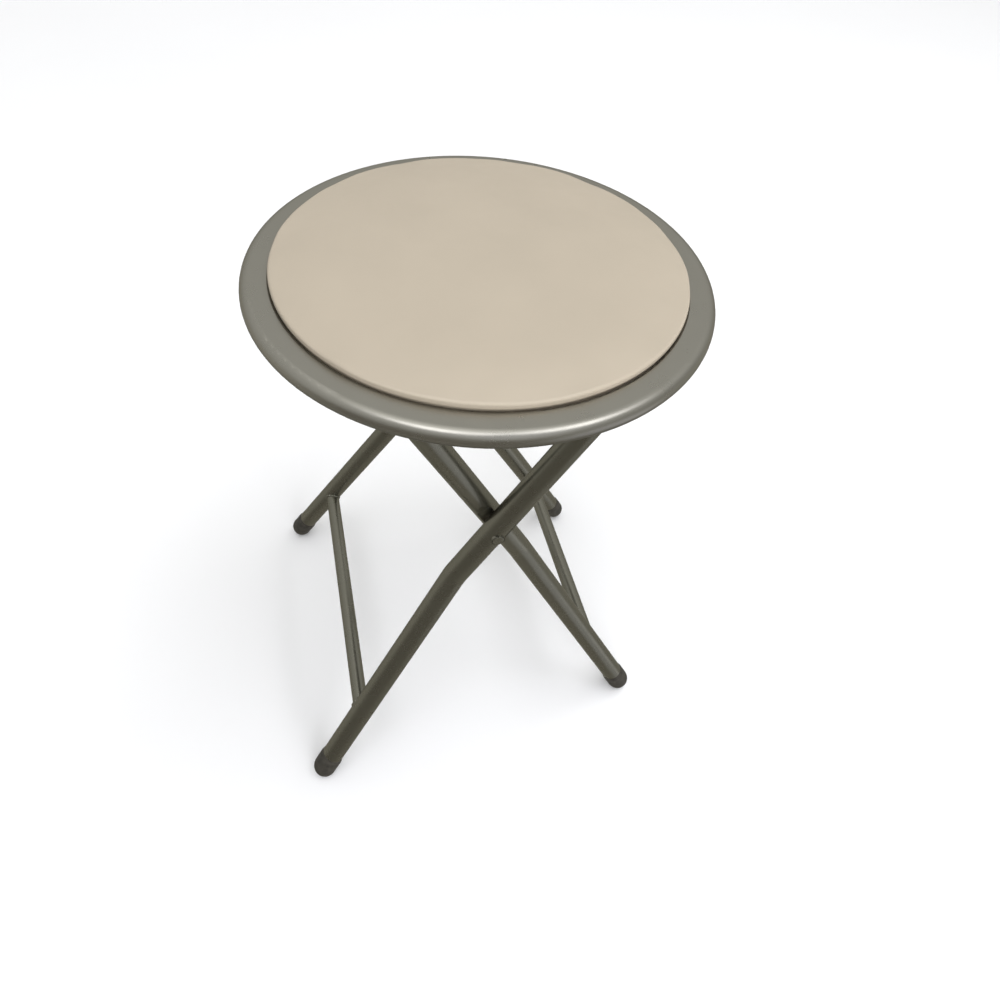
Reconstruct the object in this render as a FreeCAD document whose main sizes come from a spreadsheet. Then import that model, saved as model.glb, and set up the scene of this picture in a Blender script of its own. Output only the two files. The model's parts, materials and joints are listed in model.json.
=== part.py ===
"""Folding stool: a round padded seat on two crossed tube frames that fold about a riveted pivot.

Millimetres, +Z up, the floor at Z = 0, the seat centred on the Z axis. The legs cross in the XZ plane.
"""
import FreeCAD
import Part
import Sketcher
import os

from FreeCAD import Vector

doc = FreeCAD.newDocument("folding_stool")

# Driving dimensions: name, millimetres (or degrees, where the note says so), note
SIZES = [
    ("seat_diameter", "310", "over the rolled rim"),
    ("pan_height", "437.4", "floor to the flat ring of the seat pan"),
    ("pan_wall", "1.2", "sheet thickness of the seat pan"),
    ("rim_radius", "6.3", "outside radius of the rolled rim"),
    ("rim_wrap", "30", "degrees that the rolled edge lies past the level line on each side"),
    ("ring_width", "19.3", "rolled rim's outside in to the well that holds the cushion"),
    ("recess_depth", "9", "depth of that well"),
    ("recess_floor_bend", "3", "bend at the foot of the well's wall"),
    ("recess_lip_bend", "1.8", "bend at the top of the well's wall"),
    ("cushion_gap", "1.3", "well's wall in to the side of the cushion"),
    ("cushion_bulge", "0.45", "how far the cushion's widest line stands out past that side"),
    ("cushion_widest_height", "4.8", "height of that line over the pan ring"),
    ("cushion_tuck_radius", "8", "bulge below the widest line"),
    ("cushion_edge_radius", "3.6", "bulge above the widest line"),
    ("cushion_edge_turn", "60", "degrees turned by the edge before the shoulder"),
    ("cushion_shoulder_radius", "17", "soft shoulder between edge and crown"),
    ("cushion_crown_turn", "88", "degrees turned where the crown starts"),
    ("hem_width", "16", "side of the cushion in to the edge of the cover's hem under the board"),
    ("cushion_foot_bend", "1.5", "bend of the cover around the board's lower edge"),
    ("cover_skin", "1", "thickness of the vinyl cover"),
    ("soft_clearance", "0.2", "gap between cover, foam and board edge"),
    ("board_thickness", "7", "seat board"),
    ("tube_diameter", "18.6", "leg tube"),
    ("tube_wall", "1.2", "wall of the leg tube"),
    ("pivot_height", "273.6", "floor to the pivot rivets"),
    ("foot_spread", "144.6", "foot centre to the middle plane along X"),
    ("foot_height", "9.4", "foot centre above the floor"),
    ("outer_half_width", "95", "outer frame, tube centre to the middle plane above the bend"),
    ("outer_foot_half_width", "134.3", "outer frame, foot centre to the middle plane"),
    ("inner_half_width", "78.7", "inner frame, tube centre to the middle plane above the bend"),
    ("inner_foot_half_width", "107.4", "inner frame, foot centre to the middle plane"),
    ("bend_drop", "58", "pivot down to the splay bend, along the leg"),
    ("bend_radius", "30", "centre radius of the splay bend"),
    ("corner_radius", "40", "centre radius of the frame's top corners"),
    ("outer_flat_depth", "3", "how far the outer tube is pressed in on its inner side"),
    ("outer_flat_below", "60", "length of that flat below the pivot"),
    ("outer_flat_above", "70", "length of that flat above the pivot"),
    ("inner_flat_depth", "2", "how far the inner tube is dented on its outer side"),
    ("inner_flat_below", "14", "length of that dent below the pivot"),
    ("inner_flat_above", "14", "length of that dent above the pivot"),
    ("flat_run_out", "12", "length of the slope at each end of a flat"),
    ("stretcher_diameter", "12.7", "cross tube between the legs"),
    ("stretcher_wall", "1", "wall of the cross tube"),
    ("outer_stretcher_rise", "76", "foot centre up to the cross tube, along the outer leg"),
    ("inner_stretcher_rise", "82.9", "foot centre up to the cross tube, along the inner leg"),
    ("foot_radius", "10.1", "domed end of the foot plug"),
    ("foot_collar", "17.5", "foot centre up to the end of the tube"),
    ("foot_flare", "4", "length over which the plug widens from the tube's end"),
    ("foot_stem", "18", "length of the plug inside the tube"),
    ("foot_fit", "0.05", "gap between plug stem and tube bore"),
    ("rivet_diameter", "6", "pivot rivet shank"),
    ("rivet_head_diameter", "10", "pivot rivet head"),
    ("rivet_head_edge", "0.6", "height of the head at its edge"),
    ("rivet_head_dome", "0.9", "rise of the head's dome"),
    ("rivet_clinch_diameter", "9", "clinched end of the rivet"),
    ("rivet_clinch_height", "1.5", "thickness of the clinched end"),
    ("rivet_fit", "0.05", "gap around the shank where it is fixed"),
    ("pivot_clearance", "0.1", "gap around the shank where the inner frame turns"),
    ("turning_clearance", "0.3", "gap beside faces that turn against each other"),
    ("washer_diameter", "11", "spacer washer between the frames"),
    ("bar_clearance", "0.3", "gap around a top bar in its saddle or hook"),
    ("saddle_base", "2.6", "plastic between the top bar and the pan"),
    ("saddle_width", "46", "saddle and hook along X"),
    ("saddle_length", "20", "saddle and hook along Y"),
    ("saddle_offset", "26", "middle plane to the centre of a saddle or hook"),
    ("saddle_skirt", "2.5", "bar axis up to the underside of the saddle"),
    ("strap_wall", "1.5", "thickness of the strap under the hinge bar"),
    ("strap_length", "15", "strap along Y"),
    ("hook_wall", "4.5", "thickness of the hook"),
    ("hook_mouth", "30", "degrees above level where the hook's inner side ends"),
    ("hook_wrap", "20", "degrees below level where the hook's outer side ends"),
    ("screw_diameter", "4", "screw shank"),
    ("screw_head_diameter", "7.5", "screw head"),
    ("screw_head_height", "2.4", "screw head"),
    ("screw_head_edge", "0.8", "height of the screw head at its edge"),
    ("screw_point", "2.5", "length of the screw's tip"),
    ("screw_point_diameter", "1", "end of the screw's tip"),
    ("screw_clearance", "0.15", "gap around a screw's shank"),
    ("screw_offset", "17.5", "bar axis to a screw along X"),
    ("screw_bite", "5.5", "screw length inside the seat board"),
    ("tool_overrun", "1", "how far a cutting shape reaches past what it cuts"),
]

# Worked out from the driving dimensions: name, formula, note
DERIVED = [
    ("seat_radius", "=Sizes.seat_diameter / 2", "seat"),
    ("rim_centre", "=seat_radius - Sizes.rim_radius", "radius of the rolled rim's centre line"),
    ("tube_radius", "=Sizes.tube_diameter / 2", "leg tube"),
    ("bore_radius", "=tube_radius - Sizes.tube_wall", "leg tube's bore"),
    ("well_underside", "=Sizes.pan_height - Sizes.recess_depth - Sizes.pan_wall", "under the seat pan"),
    ("bar_room", "=tube_radius + Sizes.bar_clearance", "radius of the groove around a top bar"),
    ("saddle_top", "=bar_room + Sizes.saddle_base", "bar axis up to the pan's underside"),
    ("bar_height", "=well_underside - saddle_top", "top bars above the floor"),
    ("leg_rise", "=Sizes.pivot_height - Sizes.foot_height", "foot centre to pivot, upright"),
    ("leg_lean", "=atan(Sizes.foot_spread / leg_rise)", "lean of each frame from upright"),
    ("leg_length", "=leg_rise / cos(leg_lean)", "foot centre to pivot along the leg"),
    ("bar_length_up", "=(bar_height - Sizes.pivot_height) / cos(leg_lean)", "pivot to bar along the leg"),
    ("bar_spread", "=bar_length_up * sin(leg_lean)", "top bar to the middle plane along X"),
    ("splay_run", "=leg_length - Sizes.bend_drop", "bend to foot centre along the leg"),
    ("outer_splay", "=atan((Sizes.outer_foot_half_width - Sizes.outer_half_width) / splay_run)",
     "turn of the outer frame's legs at the bend"),
    ("inner_splay", "=atan((Sizes.inner_foot_half_width - Sizes.inner_half_width) / splay_run)",
     "turn of the inner frame's legs at the bend"),
    ("outer_flat", "=Sizes.outer_half_width - tube_radius + Sizes.outer_flat_depth",
     "plane of the outer tube's flat"),
    ("inner_flat", "=Sizes.inner_half_width + tube_radius - Sizes.inner_flat_depth",
     "plane of the inner tube's dent"),
    ("washer_height", "=outer_flat - inner_flat - Sizes.turning_clearance", "spacer washer"),
    ("rivet_seat", "=Sizes.outer_half_width + tube_radius", "rivet head's seat on the outer frame"),
    ("rivet_grip", "=rivet_seat - Sizes.inner_half_width + tube_radius + Sizes.turning_clearance", "rivet"),
    ("recess_radius", "=seat_radius - Sizes.ring_width", "well that holds the cushion"),
    ("cushion_base", "=recess_radius - Sizes.cushion_gap", "radius of the cushion's side in the well"),
    ("cushion_radius", "=cushion_base + Sizes.cushion_bulge", "cushion at its widest line"),
    ("hem_radius", "=cushion_base - Sizes.hem_width", "inner edge of the cover's hem"),
    ("shoulder_reach", "=Sizes.cushion_shoulder_radius - Sizes.cushion_edge_radius", "shoulder"),
    ("shoulder_x", "=cushion_radius - Sizes.cushion_edge_radius"
     " - shoulder_reach * cos(Sizes.cushion_edge_turn * 1 deg)", "centre of the shoulder's arc"),
    ("shoulder_z", "=Sizes.cushion_widest_height"
     " - shoulder_reach * sin(Sizes.cushion_edge_turn * 1 deg)", "centre of the shoulder's arc"),
    ("crown_x", "=shoulder_x + Sizes.cushion_shoulder_radius * cos(Sizes.cushion_crown_turn * 1 deg)",
     "where the crown starts"),
    ("crown_radius", "=crown_x / cos(Sizes.cushion_crown_turn * 1 deg)", "cushion crown"),
    ("crown_z", "=shoulder_z - (crown_radius - Sizes.cushion_shoulder_radius)"
     " * sin(Sizes.cushion_crown_turn * 1 deg)", "centre of the crown's arc"),
    ("board_base", "=Sizes.cover_skin - Sizes.recess_depth", "board's underside from the pan ring"),
    ("board_top", "=board_base + Sizes.board_thickness", "board's top from the pan ring"),
    ("board_radius", "=cushion_base - Sizes.cover_skin - Sizes.soft_clearance", "board"),
    ("screw_radius", "=Sizes.screw_diameter / 2", "screw shank"),
    ("screw_hole", "=screw_radius + Sizes.screw_clearance", "holes for the screws"),
    ("hook_skirt", "=bar_room * sin(Sizes.hook_mouth * 1 deg)", "bar axis up to the hook's underside"),
    ("screw_beyond", "=Sizes.pan_wall + Sizes.cover_skin + Sizes.screw_bite", "screw above a saddle's top"),
    ("hinge_screw_seat", "=Sizes.saddle_skirt - Sizes.strap_wall", "screw head's seat under the strap"),
    ("hinge_screw_length", "=saddle_top - hinge_screw_seat + screw_beyond", "screw"),
    ("catch_screw_length", "=saddle_top - hook_skirt + screw_beyond", "screw"),
]


def fill_sheet(name, rows):
    """Writes one named cell per row, with its note beside it."""
    sheet = doc.addObject("Spreadsheet::Sheet", name)
    for row, (alias, content, note) in enumerate(rows, start=1):
        sheet.set(f"A{row}", alias)
        sheet.set(f"B{row}", content)
        sheet.setAlias(f"B{row}", alias)
        sheet.set(f"C{row}", note)
    return sheet


sizes = fill_sheet("Sizes", SIZES)
derived = fill_sheet("Derived", DERIVED)
doc.recompute()

# The sides that repeat: the front has negative Y, the rear positive Y
SIDES = [("front", -1), ("rear", 1)]
# The sign of each frame's lean about Y: the outer frame climbs towards +X, the inner one towards -X
LEAN = {"outer": 1, "inner": -1}


def number(expression):
    """The present value of an expression, as a plain number."""
    value = derived.evalExpression(expression)
    return getattr(value, "Value", value)


def new_body(label):
    body = doc.addObject("PartDesign::Body", label)
    body.Label = label
    return body


def new_sketch(body, plane_role, name):
    """A sketch on one of the body's own origin planes."""
    sketch = body.newObject("Sketcher::SketchObject", name)
    plane = next(item for item in body.Origin.OriginFeatures if item.Role == plane_role)
    sketch.AttachmentSupport = [(plane, "")]
    sketch.MapMode = "FlatFace"
    return sketch


def bind(sketch, kind, first, second, expression):
    """Adds one dimension to a sketch and ties it to an expression."""
    value = number(expression)
    index = sketch.addConstraint(Sketcher.Constraint(kind, *first, *second, value))
    sketch.setExpression(f"Constraints[{index}]", expression)


def place_point(sketch, geometry, position, x, y):
    bind(sketch, "DistanceX", (-1, 1), (geometry, position), x)
    bind(sketch, "DistanceY", (-1, 1), (geometry, position), y)


def arc_through(start, end, radius):
    """The shorter counter-clockwise arc of this radius from start to end."""
    chord = end - start
    middle = (start + end) * 0.5
    left = Vector(-chord.y, chord.x, 0).normalize()
    half = chord.Length / 2
    centre_distance = max(radius * radius - half * half, 0) ** 0.5
    top = middle - left * (radius - centre_distance)
    return Part.Arc(start, top, end)


def outline(sketch, corners, closed=True):
    """Draws a wire through corners (x, y) or (x, y, turn, radius), all of them expressions.

    Turn is ccw or cw and makes the stretch that leaves the corner an arc.
    """
    points = [Vector(number(corner[0]), number(corner[1]), 0) for corner in corners]
    ends = []
    stretches = len(corners) if closed else len(corners) - 1
    for index in range(stretches):
        start = points[index]
        end = points[(index + 1) % len(points)]
        if len(corners[index]) == 2:
            geometry = sketch.addGeometry(Part.LineSegment(start, end), False)
            ends.append((geometry, 1, 2))
            continue
        turn, radius = corners[index][2:]
        if turn == "ccw":
            geometry = sketch.addGeometry(arc_through(start, end, number(radius)), False)
            ends.append((geometry, 1, 2))
        else:
            geometry = sketch.addGeometry(arc_through(end, start, number(radius)), False)
            ends.append((geometry, 2, 1))
        bind(sketch, "Radius", (geometry,), (), radius)
    for index in range(stretches):
        geometry, start, end = ends[index]
        place_point(sketch, geometry, start, *corners[index][:2])
        if index + 1 < stretches or closed:
            follower, follower_start, _ = ends[(index + 1) % stretches]
            sketch.addConstraint(Sketcher.Constraint("Coincident", geometry, end, follower, follower_start))
        else:
            place_point(sketch, geometry, end, *corners[-1][:2])


def add_circle(sketch, x, y, radius):
    centre = Vector(number(x), number(y), 0)
    geometry = sketch.addGeometry(Part.Circle(centre, Vector(0, 0, 1), number(radius)), False)
    place_point(sketch, geometry, 3, x, y)
    bind(sketch, "Radius", (geometry,), (), radius)


def revolve(body, sketch, name):
    """Turns a sketch once around its own upright axis."""
    feature = body.newObject("PartDesign::Revolution", name)
    feature.Profile = sketch
    feature.ReferenceAxis = (sketch, ["V_Axis"])
    feature.Angle = 360
    sketch.Visibility = False
    return feature


def pad_both_ways(body, sketch, length, name):
    feature = body.newObject("PartDesign::Pad", name)
    feature.Profile = sketch
    feature.Midplane = True
    feature.setExpression("Length", length)
    return feature


def pocket_both_ways(body, sketch, name):
    feature = body.newObject("PartDesign::Pocket", name)
    feature.Profile = sketch
    feature.Type = "ThroughAll"
    feature.Midplane = True
    return feature


def cut(label, base, tool):
    feature = doc.addObject("Part::Cut", label)
    feature.Label = label
    feature.Base = base
    feature.Tool = tool
    return feature


def cylinder(name, radius, height):
    feature = doc.addObject("Part::Cylinder", name)
    feature.setExpression("Radius", radius)
    feature.setExpression("Height", height)
    return feature


def in_frame(frame):
    """The placement of a leg frame: its origin at the pivot, its Z up along the leg."""
    lean = f"rotation(vector(0; 1; 0); {LEAN[frame]} * Derived.leg_lean)"
    return f"placement(vector(0; 0; Sizes.pivot_height); {lean})"


def place(feature, x, y, z, rotation=None, within=None):
    """Ties a placement to expressions, in the stool's frame or within another placement."""
    turn = rotation or "rotation(vector(0; 0; 1); 0 deg)"
    own = f"placement(vector({x}; {y}; {z}); {turn})"
    feature.setExpression("Placement", f"{within} * {own}" if within else own)


def about_x(angle):
    return f"rotation(vector(1; 0; 0); {angle})"


def leg_path(body, frame):
    """The centre line of a frame's one bent tube: front foot, up, across the top bar, and down."""
    half = f"Sizes.{frame}_half_width"
    splay = f"Derived.{frame}_splay"
    foot = f"Sizes.{frame}_foot_half_width"
    tangent = f"Sizes.bend_radius * tan({splay} / 2)"
    end_y = f"({foot} - Sizes.foot_collar * sin({splay}))"
    end_z = f"-(Derived.leg_length - Sizes.foot_collar * cos({splay}))"
    low_y = f"({half} + {tangent} * sin({splay}))"
    low_z = f"-(Sizes.bend_drop + {tangent} * cos({splay}))"
    high_z = f"-(Sizes.bend_drop - {tangent})"
    corner_z = "Derived.bar_length_up - Sizes.corner_radius"
    corner_y = f"({half} - Sizes.corner_radius)"
    bar_z = "Derived.bar_length_up"
    path = new_sketch(body, "YZ_Plane", f"{body.Label}_path")
    outline(path, [
        (f"-{end_y}", end_z),
        (f"-{low_y}", low_z, "ccw", "Sizes.bend_radius"),
        (f"-{half}", high_z),
        (f"-{half}", corner_z, "cw", "Sizes.corner_radius"),
        (f"-{corner_y}", bar_z),
        (corner_y, bar_z, "cw", "Sizes.corner_radius"),
        (half, corner_z),
        (half, high_z, "ccw", "Sizes.bend_radius"),
        (low_y, low_z),
        (end_y, end_z),
    ], closed=False)
    doc.recompute()
    return path


def bent_rod(label, frame, radius):
    """A solid round rod along a frame's centre line."""
    body = new_body(label)
    path = leg_path(body, frame)
    section = body.newObject("Sketcher::SketchObject", f"{label}_section")
    section.AttachmentSupport = [(path, "Edge1")]
    section.MapMode = "NormalToEdge"
    geometry = section.addGeometry(Part.Circle(Vector(), Vector(0, 0, 1), number(radius)), False)
    section.addConstraint(Sketcher.Constraint("Coincident", geometry, 3, -1, 1))
    bind(section, "Radius", (geometry,), (), radius)
    doc.recompute()
    pipe = body.newObject("PartDesign::AdditivePipe", f"{label}_pipe")
    pipe.Profile = section
    pipe.Spine = (path, [f"Edge{index + 1}" for index in range(len(path.Shape.Edges))])
    body.setExpression("Placement", in_frame(frame))
    doc.recompute()
    return body


def press_flats(body, frame, wall):
    """Presses both legs of a frame flat beside the pivot, wall deep into the bore where that is cut."""
    below = f"Sizes.{frame}_flat_below"
    above = f"Sizes.{frame}_flat_above"
    half = f"Sizes.{frame}_half_width"
    reach = "(Derived.tube_radius + Sizes.tool_overrun)"
    if frame == "outer":
        flat = f"(Derived.outer_flat + {wall})"
        free = f"({half} - {reach})"
    else:
        flat = f"(Derived.inner_flat - {wall})"
        free = f"({half} + {reach})"
    sketch = new_sketch(body, "YZ_Plane", f"{body.Label}_flats")
    for sign in ("-", ""):
        corners = [
            (f"{sign}{flat}", f"-{below}"),
            (f"{sign}{flat}", above),
            (f"{sign}{free}", f"{above} + Sizes.flat_run_out"),
            (f"{sign}{free}", f"-({below} + Sizes.flat_run_out)"),
        ]
        outline(sketch, corners)
    doc.recompute()
    pocket_both_ways(body, sketch, f"{body.Label}_press")
    doc.recompute()


def leg_frame(frame, hole_gap):
    """A frame's tube, open at its feet, and the solid rod that its cross tube is trimmed by."""
    rod = bent_rod(f"{frame}_leg_rod", frame, "Derived.tube_radius")
    press_flats(rod, frame, "0")
    hole = new_sketch(rod, "XZ_Plane", f"{frame}_rivet_hole")
    add_circle(hole, "0", "0", f"Sizes.rivet_diameter / 2 + {hole_gap}")
    doc.recompute()
    pocket_both_ways(rod, hole, f"{frame}_rivet_holes")
    bore = bent_rod(f"{frame}_leg_bore", frame, "Derived.bore_radius")
    press_flats(bore, frame, "Sizes.tube_wall")
    return cut(f"{frame}_leg_frame", rod, bore), rod


def stretcher(frame, rod):
    """The cross tube low between a frame's legs, its ends shaped to the leg tubes."""
    level = f"(Derived.leg_length - Sizes.{frame}_stretcher_rise)"
    half = f"(Sizes.{frame}_half_width + ({level} - Sizes.bend_drop) * tan(Derived.{frame}_splay))"
    outside = cylinder(f"{frame}_stretcher_outside", "Sizes.stretcher_diameter / 2", f"2 * {half}")
    inside = cylinder(f"{frame}_stretcher_inside", "Sizes.stretcher_diameter / 2 - Sizes.stretcher_wall",
                      f"2 * {half}")
    for feature in (outside, inside):
        place(feature, "0", f"-{half}", f"-{level}", about_x("-90 deg"), in_frame(frame))
    tube = cut(f"{frame}_stretcher_tube", outside, inside)
    return cut(f"{frame}_stretcher", tube, rod)


def foot(frame, side, sign, floor):
    """A domed plug in the end of a leg, worn flat where it stands on the floor."""
    label = f"{frame}_foot_{side}"
    body = new_body(f"{label}_plug")
    sketch = new_sketch(body, "XZ_Plane", f"{label}_profile")
    stem_radius = "Derived.bore_radius - Sizes.foot_fit"
    stem_end = "-(Sizes.foot_collar + Sizes.foot_stem)"
    outline(sketch, [
        ("0", stem_end),
        (stem_radius, stem_end),
        (stem_radius, "-Sizes.foot_collar"),
        ("Derived.tube_radius", "-Sizes.foot_collar"),
        ("Sizes.foot_radius", "-(Sizes.foot_collar - Sizes.foot_flare)"),
        ("Sizes.foot_radius", "0", "ccw", "Sizes.foot_radius"),
        ("0", "Sizes.foot_radius"),
    ])
    doc.recompute()
    revolve(body, sketch, f"{label}_turned")
    y = f"{sign} * Sizes.{frame}_foot_half_width"
    turn = about_x(f"180 deg + {sign} * Derived.{frame}_splay")
    place(body, "0", y, "-Derived.leg_length", turn, in_frame(frame))
    return cut(label, body, floor)


def rivet(side, sign):
    """A pivot rivet through both tubes, its head outside and its clinched end inside."""
    label = f"pivot_rivet_{side}"
    body = new_body(label)
    sketch = new_sketch(body, "XZ_Plane", f"{label}_profile")
    shank = "Sizes.rivet_diameter / 2"
    head = "Sizes.rivet_head_diameter / 2"
    clinch = "Sizes.rivet_clinch_diameter / 2"
    clinch_end = "-(Derived.rivet_grip + Sizes.rivet_clinch_height)"
    dome = f"(({head})^2 + Sizes.rivet_head_dome^2) / (2 * Sizes.rivet_head_dome)"
    outline(sketch, [
        ("0", clinch_end),
        (clinch, clinch_end),
        (clinch, "-Derived.rivet_grip"),
        (shank, "-Derived.rivet_grip"),
        (shank, "0"),
        (head, "0"),
        (head, "Sizes.rivet_head_edge", "ccw", dome),
        ("0", "Sizes.rivet_head_edge + Sizes.rivet_head_dome"),
    ])
    doc.recompute()
    revolve(body, sketch, f"{label}_turned")
    place(body, "0", f"{sign} * Derived.rivet_seat", "Sizes.pivot_height", about_x(f"{-sign} * 90 deg"))
    return body


def washer(side, sign):
    """The spacer between the two tubes at a pivot."""
    label = f"pivot_washer_{side}"
    disc = cylinder(f"{label}_disc", "Sizes.washer_diameter / 2", "Derived.washer_height")
    eye = cylinder(f"{label}_eye", "Sizes.rivet_diameter / 2 + Sizes.rivet_fit", "Derived.washer_height")
    y = f"{sign} * Derived.outer_flat"
    for feature in (disc, eye):
        place(feature, "0", y, "Sizes.pivot_height", about_x(f"{sign} * 90 deg"))
    return cut(label, disc, eye)


def screw_places():
    """Where the screws stand in plan: two at each saddle and two at each hook."""
    places = []
    for bar_sign in (1, -1):
        for screw_sign in (1, -1):
            for _, side_sign in SIDES:
                x = f"{bar_sign} * Derived.bar_spread + {screw_sign} * Sizes.screw_offset"
                places.append((x, f"{side_sign} * Sizes.saddle_offset"))
    return places


def seat_pan():
    """The drawn sheet pan: a well for the cushion, a flat ring around it and a rolled rim."""
    body = new_body("seat_pan")
    sketch = new_sketch(body, "XZ_Plane", "seat_pan_profile")
    wall = "Sizes.pan_wall"
    rim = "Sizes.rim_radius"
    well = "Derived.recess_radius"
    floor_bend = "Sizes.recess_floor_bend"
    lip_bend = "Sizes.recess_lip_bend"
    depth = "Sizes.recess_depth"
    across = "cos(Sizes.rim_wrap * 1 deg)"
    down = "sin(Sizes.rim_wrap * 1 deg)"
    low = f"-{rim} - {rim} * {down}"
    low_inside = f"-{rim} - ({rim} - {wall}) * {down}"
    outline(sketch, [
        ("0", f"-{depth}"),
        (f"{well} - {floor_bend}", f"-{depth}", "ccw", floor_bend),
        (well, f"{floor_bend} - {depth}"),
        (well, f"-{lip_bend}", "cw", lip_bend),
        (f"{well} + {lip_bend}", "0"),
        ("Derived.rim_centre", "0", "cw", rim),
        (f"Derived.rim_centre + {rim} * {across}", low, "cw", rim),
        (f"Derived.rim_centre - {rim} * {across}", low),
        (f"Derived.rim_centre - ({rim} - {wall}) * {across}", low_inside, "ccw", f"{rim} - {wall}"),
        (f"Derived.rim_centre + ({rim} - {wall}) * {across}", low_inside, "ccw", f"{rim} - {wall}"),
        ("Derived.rim_centre", f"-{wall}"),
        (f"{well} + {lip_bend}", f"-{wall}", "ccw", f"{lip_bend} - {wall}"),
        (f"{well} + {wall}", f"-{lip_bend}"),
        (f"{well} + {wall}", f"{floor_bend} - {depth}", "cw", f"{floor_bend} + {wall}"),
        (f"{well} - {floor_bend}", f"-{depth} - {wall}"),
        ("0", f"-{depth} - {wall}"),
    ])
    doc.recompute()
    revolve(body, sketch, "seat_pan_drawn")
    holes = new_sketch(body, "XY_Plane", "seat_pan_holes")
    for x, y in screw_places():
        add_circle(holes, x, y, "Derived.screw_hole")
    doc.recompute()
    pocket_both_ways(body, holes, "seat_pan_drilled")
    place(body, "0", "0", "Sizes.pan_height")
    return body


def seat_board():
    """The board that stiffens the cushion and takes the screws."""
    body = new_body("seat_board")
    disc = new_sketch(body, "XY_Plane", "seat_board_disc")
    add_circle(disc, "0", "0", "Derived.board_radius")
    doc.recompute()
    pad = body.newObject("PartDesign::Pad", "seat_board_pad")
    pad.Profile = disc
    pad.setExpression("Length", "Sizes.board_thickness")
    doc.recompute()
    holes = new_sketch(body, "XY_Plane", "seat_board_pilot_holes")
    for x, y in screw_places():
        add_circle(holes, x, y, "Derived.screw_hole")
    doc.recompute()
    pilot = body.newObject("PartDesign::Pocket", "seat_board_pilots")
    pilot.Profile = holes
    pilot.Reversed = True
    pilot.setExpression("Length", "Sizes.screw_bite + Sizes.screw_clearance")
    place(body, "0", "0", "Sizes.pan_height + Derived.board_base")
    return body


def cushion_side(inset):
    """The cushion's outside from its side up to its crown, set in by an amount."""
    tuck = f"(Sizes.cushion_tuck_radius - {inset})"
    edge = f"(Sizes.cushion_edge_radius - {inset})"
    shoulder = f"(Sizes.cushion_shoulder_radius - {inset})"
    crown = f"(Derived.crown_radius - {inset})"
    edge_turn = "Sizes.cushion_edge_turn * 1 deg"
    crown_turn = "Sizes.cushion_crown_turn * 1 deg"
    side = f"Derived.cushion_base - {inset}"
    widest = "Sizes.cushion_widest_height"
    tuck_run = f"({side} - Derived.cushion_radius + Sizes.cushion_tuck_radius)"
    edge_centre = "Derived.cushion_radius - Sizes.cushion_edge_radius"
    corners = [
        (side, f"{widest} - sqrt({tuck}^2 - {tuck_run}^2)"),
        (f"Derived.cushion_radius - {inset}", widest),
        (f"{edge_centre} + {edge} * cos({edge_turn})", f"{widest} + {edge} * sin({edge_turn})"),
        (f"Derived.shoulder_x + {shoulder} * cos({crown_turn})",
         f"Derived.shoulder_z + {shoulder} * sin({crown_turn})"),
        ("0", f"Derived.crown_z + {crown}"),
    ]
    return corners, [tuck, edge, shoulder, crown]


def seat_cover():
    """The vinyl cover: over the foam, down the drawn-in side, around the board and under it."""
    body = new_body("seat_cover")
    sketch = new_sketch(body, "XZ_Plane", "seat_cover_profile")
    outside, outside_radii = cushion_side("0")
    inside, inside_radii = cushion_side("Sizes.cover_skin")
    side = "Derived.cushion_base"
    bend = "Sizes.cushion_foot_bend"
    depth = "Sizes.recess_depth"
    corners = [
        ("Derived.hem_radius", f"-{depth}"),
        (f"{side} - {bend}", f"-{depth}", "ccw", bend),
        (side, f"{bend} - {depth}"),
    ]
    corners += [corner + ("ccw", radius) for corner, radius in zip(outside, outside_radii)]
    corners.append(outside[-1])
    corners.append(inside[-1] + ("cw", inside_radii[-1]))
    corners += [inside[index] + ("cw", inside_radii[index - 1]) for index in (3, 2, 1)]
    corners += [
        inside[0],
        (f"{side} - Sizes.cover_skin", "Derived.board_base"),
        ("Derived.hem_radius", "Derived.board_base"),
    ]
    outline(sketch, corners)
    doc.recompute()
    revolve(body, sketch, "seat_cover_sewn")
    doc.recompute()
    holes = new_sketch(body, "XY_Plane", "seat_cover_holes")
    for x, y in screw_places():
        add_circle(holes, x, y, "Derived.screw_hole")
    doc.recompute()
    pierced = body.newObject("PartDesign::Pocket", "seat_cover_pierced")
    pierced.Profile = holes
    pierced.setExpression("Length", f"{depth} + Sizes.tool_overrun")
    place(body, "0", "0", "Sizes.pan_height")
    return body


def seat_foam():
    """The foam pad on the board, inside the cover."""
    body = new_body("seat_foam")
    sketch = new_sketch(body, "XZ_Plane", "seat_foam_profile")
    side, radii = cushion_side("(Sizes.cover_skin + Sizes.soft_clearance)")
    corners = [("0", "Derived.board_top"), ("Derived.board_radius", "Derived.board_top")]
    corners += [corner + ("ccw", radius) for corner, radius in zip(side, radii)]
    corners.append(side[-1])
    outline(sketch, corners)
    doc.recompute()
    revolve(body, sketch, "seat_foam_cut")
    place(body, "0", "0", "Sizes.pan_height")
    return body


def screw_eyes(body):
    """The two screw holes through a saddle, a strap or a hook."""
    eyes = new_sketch(body, "XY_Plane", f"{body.Label}_eyes")
    for sign in ("-", ""):
        add_circle(eyes, f"{sign}Sizes.screw_offset", "0", "Derived.screw_hole")
    doc.recompute()
    pocket_both_ways(body, eyes, f"{body.Label}_drilled")


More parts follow.
